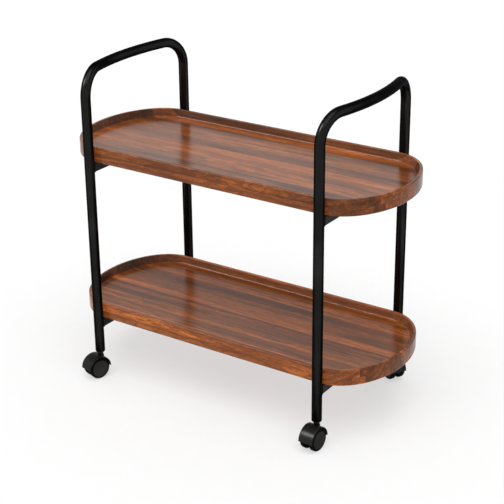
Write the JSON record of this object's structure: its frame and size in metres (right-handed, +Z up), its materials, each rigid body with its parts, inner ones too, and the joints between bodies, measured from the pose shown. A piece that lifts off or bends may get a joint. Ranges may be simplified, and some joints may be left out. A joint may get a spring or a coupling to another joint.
{
  "type": "bar cart",
  "caption": "Two-tier serving cart: wooden trays with raised rims and rounded ends, black bent-tube end frames with bowed push handles, swivelling hooded casters.",
  "frame": {"origin": "on the floor, under the middle of the cart", "axes": "+Z up, +X along the trays, +Y across them to the rear"},
  "size_m": [0.795, 0.4356, 0.726],
  "materials": {
    "wood": "satin lacquer over walnut-stained staves",
    "powder_coat": "satin black powder coat",
    "black_plastic": "fine satin moulding",
    "wheel_plastic": "matt nylon",
    "steel": "zinc plated",
    "black_steel": "black oxide",
    "brass": "plain"
  },
  "bodies": {
    "cart": {"upper_tray": "wood", "lower_tray": "wood", "right_frame_tube": "powder_coat", "left_frame_tube": "powder_coat", "left_upper_crossbar": "powder_coat", "left_upper_front_screw": "black_steel", "left_upper_front_insert": "brass", "left_upper_rear_screw": "black_steel", "left_upper_rear_insert": "brass", "right_upper_crossbar": "powder_coat", "right_upper_front_screw": "black_steel", "right_upper_front_insert": "brass", "right_upper_rear_screw": "black_steel", "right_upper_rear_insert": "brass", "left_lower_crossbar": "powder_coat", "left_lower_front_screw": "black_steel", "left_lower_front_insert": "brass", "left_lower_rear_screw": "black_steel", "left_lower_rear_insert": "brass", "right_lower_crossbar": "powder_coat", "right_lower_front_screw": "black_steel", "right_lower_front_insert": "brass", "right_lower_rear_screw": "black_steel", "right_lower_rear_insert": "brass", "front_left_socket": "black_plastic", "front_left_stem": "black_steel", "front_right_socket": "black_plastic", "front_right_stem": "black_steel", "rear_left_socket": "black_plastic", "rear_left_stem": "black_steel", "rear_right_socket": "black_plastic", "rear_right_stem": "black_steel"},
    "front_left_caster": {"front_left_hood": "black_plastic", "front_left_axle": "steel"},
    "front_left_left_wheel_body": {"front_left_left_wheel": "wheel_plastic"},
    "front_left_right_wheel_body": {"front_left_right_wheel": "wheel_plastic"},
    "front_right_caster": {"front_right_hood": "black_plastic", "front_right_axle": "steel"},
    "front_right_left_wheel_body": {"front_right_left_wheel": "wheel_plastic"},
    "front_right_right_wheel_body": {"front_right_right_wheel": "wheel_plastic"},
    "rear_left_caster": {"rear_left_hood": "black_plastic", "rear_left_axle": "steel"},
    "rear_left_left_wheel_body": {"rear_left_left_wheel": "wheel_plastic"},
    "rear_left_right_wheel_body": {"rear_left_right_wheel": "wheel_plastic"},
    "rear_right_caster": {"rear_right_hood": "black_plastic", "rear_right_axle": "steel"},
    "rear_right_left_wheel_body": {"rear_right_left_wheel": "wheel_plastic"},
    "rear_right_right_wheel_body": {"rear_right_right_wheel": "wheel_plastic"}
  },
  "joints": [
    {"name": "front_left_swivel", "type": "hinge", "parent": "cart", "child": "front_left_caster", "pos_m": [-0.29, -0.1735, 0.045], "axis": [0, 0, 1], "continuous": true},
    {"name": "front_left_left_roll", "type": "hinge", "parent": "front_left_caster", "child": "front_left_left_wheel_body", "pos_m": [-0.29363, -0.18536, 0.02469], "axis": [-0.9563, 0.2924, 0], "continuous": true},
    {"name": "front_left_right_roll", "type": "hinge", "parent": "front_left_caster", "child": "front_left_right_wheel_body", "pos_m": [-0.29363, -0.18536, 0.02469], "axis": [-0.9563, 0.2924, 0], "continuous": true},
    {"name": "front_right_swivel", "type": "hinge", "parent": "cart", "child": "front_right_caster", "pos_m": [0.29, -0.1735, 0.045], "axis": [0, 0, 1], "continuous": true},
    {"name": "front_right_left_roll", "type": "hinge", "parent": "front_right_caster", "child": "front_right_left_wheel_body", "pos_m": [0.28913, -0.18587, 0.02469], "axis": [-0.9976, 0.0698, 0], "continuous": true},
    {"name": "front_right_right_roll", "type": "hinge", "parent": "front_right_caster", "child": "front_right_right_wheel_body", "pos_m": [0.28913, -0.18587, 0.02469], "axis": [-0.9976, 0.0698, 0], "continuous": true},
    {"name": "rear_left_swivel", "type": "hinge", "parent": "cart", "child": "rear_left_caster", "pos_m": [-0.29, 0.1735, 0.045], "axis": [0, 0, 1], "continuous": true},
    {"name": "rear_left_left_roll", "type": "hinge", "parent": "rear_left_caster", "child": "rear_left_left_wheel_body", "pos_m": [-0.28637, 0.18536, 0.02469], "axis": [0.9563, -0.2924, 0], "continuous": true},
    {"name": "rear_left_right_roll", "type": "hinge", "parent": "rear_left_caster", "child": "rear_left_right_wheel_body", "pos_m": [-0.28637, 0.18536, 0.02469], "axis": [0.9563, -0.2924, 0], "continuous": true},
    {"name": "rear_right_swivel", "type": "hinge", "parent": "cart", "child": "rear_right_caster", "pos_m": [0.29, 0.1735, 0.045], "axis": [0, 0, 1], "continuous": true},
    {"name": "rear_right_left_roll", "type": "hinge", "parent": "rear_right_caster", "child": "rear_right_left_wheel_body", "pos_m": [0.27915, 0.17951, 0.02469], "axis": [0.4848, 0.8746, 0], "continuous": true},
    {"name": "rear_right_right_roll", "type": "hinge", "parent": "rear_right_caster", "child": "rear_right_right_wheel_body", "pos_m": [0.27915, 0.17951, 0.02469], "axis": [0.4848, 0.8746, 0], "continuous": true}
  ]
}
